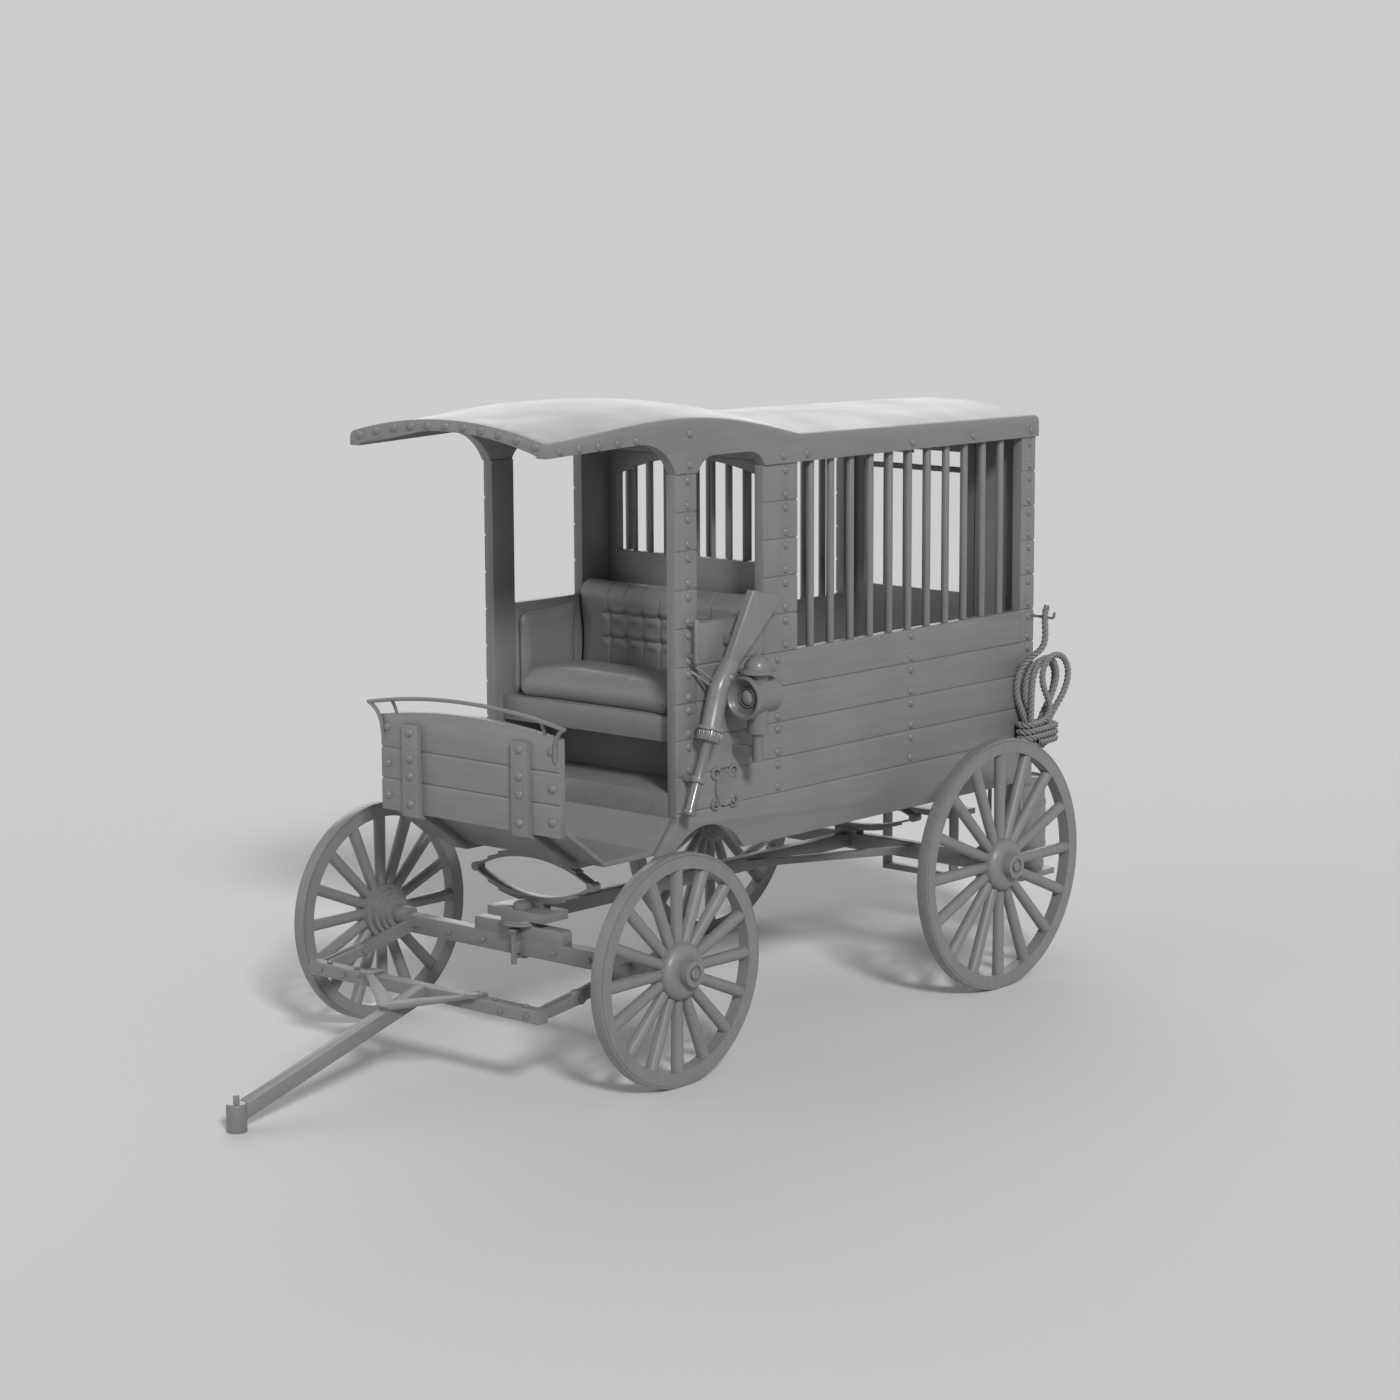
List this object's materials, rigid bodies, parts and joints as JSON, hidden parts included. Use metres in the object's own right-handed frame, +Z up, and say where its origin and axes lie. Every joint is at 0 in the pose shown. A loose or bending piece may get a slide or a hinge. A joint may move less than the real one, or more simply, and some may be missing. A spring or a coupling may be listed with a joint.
{
  "type": "horse-drawn jail wagon",
  "caption": "Barred horse-drawn jail wagon with a canopied driver's cab, spoked wheels, a turning fore-carriage and a hinged towing pole that rests on the floor.",
  "frame": {"origin": "on the floor, at the middle of the overall length and width", "axes": "+Z up, front towards -Y, the wagon's left side towards +X"},
  "size_m": [1.89, 4.674, 2.6651],
  "materials": {
    "painted_iron": "satin",
    "painted_wood": "satin",
    "leather": "satin",
    "rope": "matte",
    "lens": "satin",
    "gun_wood": "satin",
    "gun_steel": "satin"
  },
  "bodies": {
    "carriage": {"arm_panels": "leather", "cab_posts": "painted_wood", "cage_bars": "painted_iron", "dash": "painted_wood", "dash_rail": "painted_iron", "dash_straps": "painted_iron", "floor": "painted_wood", "footwell": "painted_wood", "front_posts": "painted_wood", "front_spring": "painted_iron", "gun_barrel": "gun_steel", "gun_bracket": "painted_iron", "gun_stock": "gun_wood", "hand_grips": "painted_iron", "keg": "painted_wood", "keg_rack": "painted_iron", "king_pin": "painted_iron", "lamp_lenses": "lens", "lamps": "painted_iron", "left_wall": "painted_wood", "partition": "painted_wood", "partition_bars": "painted_iron", "reach": "painted_wood", "reach_braces": "painted_iron", "rear_axle": "painted_iron", "rear_frame": "painted_wood", "rear_posts": "painted_wood", "rear_spring": "painted_iron", "rear_steps": "painted_iron", "right_wall": "painted_wood", "roof": "painted_wood", "rope_hank": "rope", "rope_peg": "painted_iron", "rope_tail": "rope", "seat_back": "leather", "seat_base": "painted_wood", "seat_cushion": "leather", "transom": "painted_wood", "underframe": "painted_wood"},
    "front_gear": {"front_axle": "painted_iron", "front_bolster": "painted_wood", "draw_hook": "painted_iron", "futchells": "painted_iron"},
    "drawbar": {"crossbar": "painted_wood", "hinge_pins": "painted_iron", "pole": "painted_wood", "pole_tip": "painted_iron", "pole_brace": "painted_iron"},
    "rear_door": {"rear_door": "painted_wood", "rear_door_bars": "painted_iron", "door_irons": "painted_iron"},
    "front_left_wheel": {"tyre_front_left": "painted_iron", "wheel_front_left": "painted_wood"},
    "front_right_wheel": {"tyre_front_right": "painted_iron", "wheel_front_right": "painted_wood"},
    "rear_left_wheel": {"tyre_rear_left": "painted_iron", "wheel_rear_left": "painted_wood"},
    "rear_right_wheel": {"tyre_rear_right": "painted_iron", "wheel_rear_right": "painted_wood"}
  },
  "joints": [
    {"name": "steering", "type": "hinge", "parent": "carriage", "child": "front_gear", "pos_m": [0, -0.737, 0.55], "axis": [0, 0, 1], "range_deg": [-30, 30]},
    {"name": "pole_lift", "type": "hinge", "parent": "front_gear", "child": "drawbar", "pos_m": [0, -1.067, 0.39], "axis": [-1, 0, 0], "range_deg": [0, 60]},
    {"name": "rear_door_swing", "type": "hinge", "parent": "carriage", "child": "rear_door", "pos_m": [-0.49, 2.086, 1.7], "axis": [0, 0, 1], "range_deg": [0, 110]},
    {"name": "front_left_spin", "type": "hinge", "parent": "front_gear", "child": "front_left_wheel", "pos_m": [0.847, -0.737, 0.4714], "axis": [1, 0, 0], "continuous": true},
    {"name": "front_right_spin", "type": "hinge", "parent": "front_gear", "child": "front_right_wheel", "pos_m": [-0.847, -0.737, 0.4714], "axis": [1, 0, 0], "continuous": true},
    {"name": "rear_left_spin", "type": "hinge", "parent": "carriage", "child": "rear_left_wheel", "pos_m": [0.847, 1.403, 0.5588], "axis": [1, 0, 0], "continuous": true},
    {"name": "rear_right_spin", "type": "hinge", "parent": "carriage", "child": "rear_right_wheel", "pos_m": [-0.847, 1.403, 0.5588], "axis": [1, 0, 0], "continuous": true}
  ]
}
